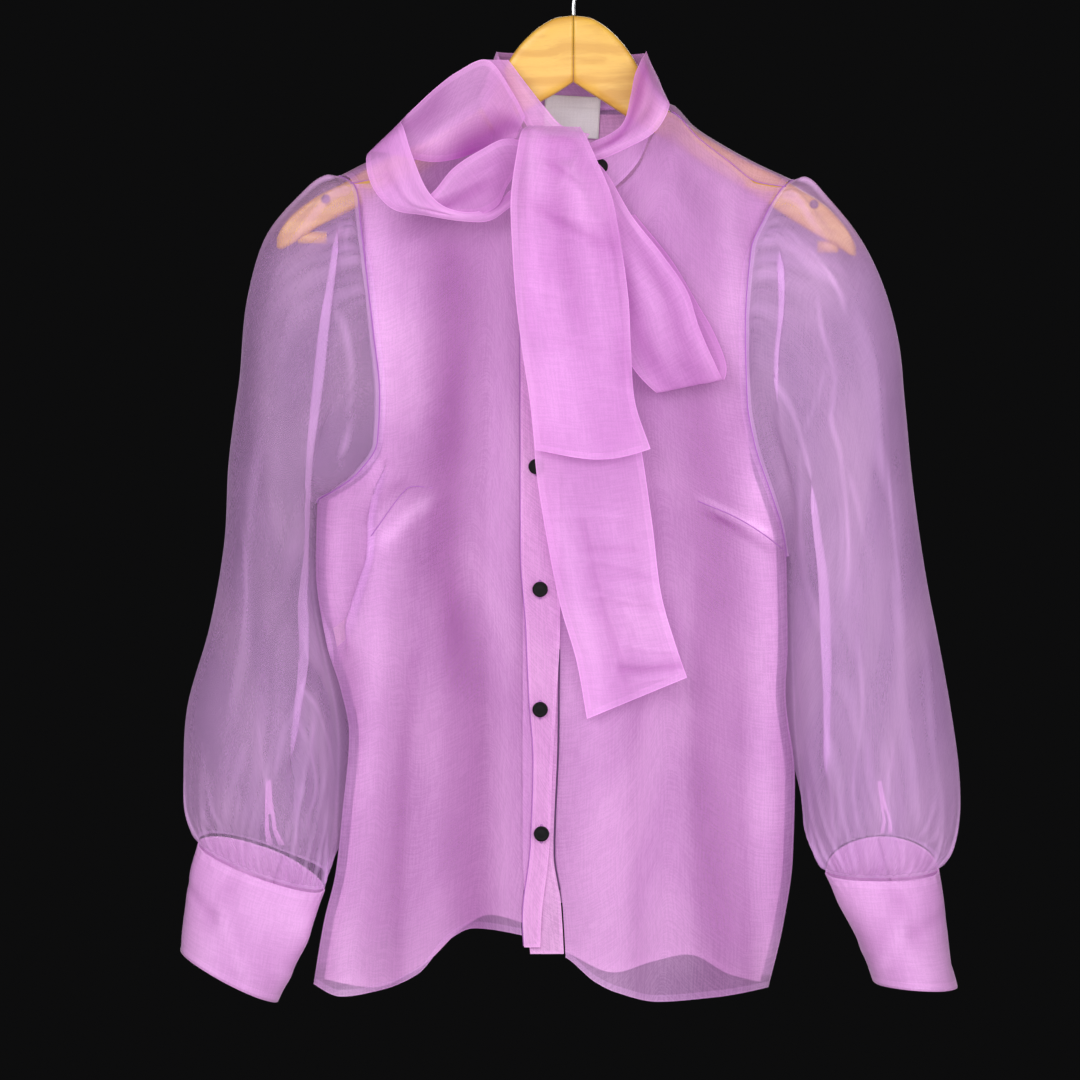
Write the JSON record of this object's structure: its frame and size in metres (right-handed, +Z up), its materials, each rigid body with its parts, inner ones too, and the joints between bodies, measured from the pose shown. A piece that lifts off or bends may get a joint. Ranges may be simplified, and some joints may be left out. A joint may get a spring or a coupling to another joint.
{
  "type": "long sleeve blouse on a wooden hanger",
  "caption": "Sheer tie-neck blouse with puff sleeves, deep cuffs, a loose lining and a front placket, hanging on a wooden hanger with a wire hook",
  "frame": {"origin": "the top of the inside of the hanger's hook, where a rail or a peg carries it", "axes": "+Z up, +Y to the back of the blouse, +X to the wearer's left"},
  "size_m": [0.59, 0.1397, 0.8092],
  "materials": {
    "shell_cloth": "sheer plain weave",
    "lining_cloth": "sheer plain weave",
    "sleeve_cloth": "sheer plain weave",
    "cuff_cloth": "layered plain weave",
    "tie_cloth": "folded sheer plain weave",
    "label_tape": "woven tape",
    "button_resin": "gloss",
    "hanger_wood": "clear varnish",
    "hook_steel": "polished wire"
  },
  "bodies": {
    "root": {"front_right": "shell_cloth", "front_left": "shell_cloth", "back_panel": "shell_cloth", "placket_top": "shell_cloth", "placket_under": "shell_cloth", "lining_right": "lining_cloth", "lining_left": "lining_cloth", "lining_back": "lining_cloth", "sleeve_right": "sleeve_cloth", "sleeve_left": "sleeve_cloth", "cuff_right": "cuff_cloth", "cuff_left": "cuff_cloth", "slit_right": "cuff_cloth", "slit_left": "cuff_cloth", "collar_band": "tie_cloth", "tie_neck_right": "tie_cloth", "tie_neck_left": "tie_cloth", "tie_loop_left": "tie_cloth", "tie_loop_return": "tie_cloth", "tie_loop_right": "tie_cloth", "tie_tail_front": "tie_cloth", "tie_tail_back": "tie_cloth", "tie_knot": "tie_cloth", "neck_label": "label_tape", "button_1": "button_resin", "button_2": "button_resin", "button_3": "button_resin", "button_4": "button_resin", "button_5": "button_resin", "button_6": "button_resin", "button_7": "button_resin", "hanger_right": "hanger_wood", "hanger_left": "hanger_wood", "hanger_hook": "hook_steel", "cuff_button_left": "button_resin", "cuff_button_right": "button_resin"}
  },
  "joints": []
}
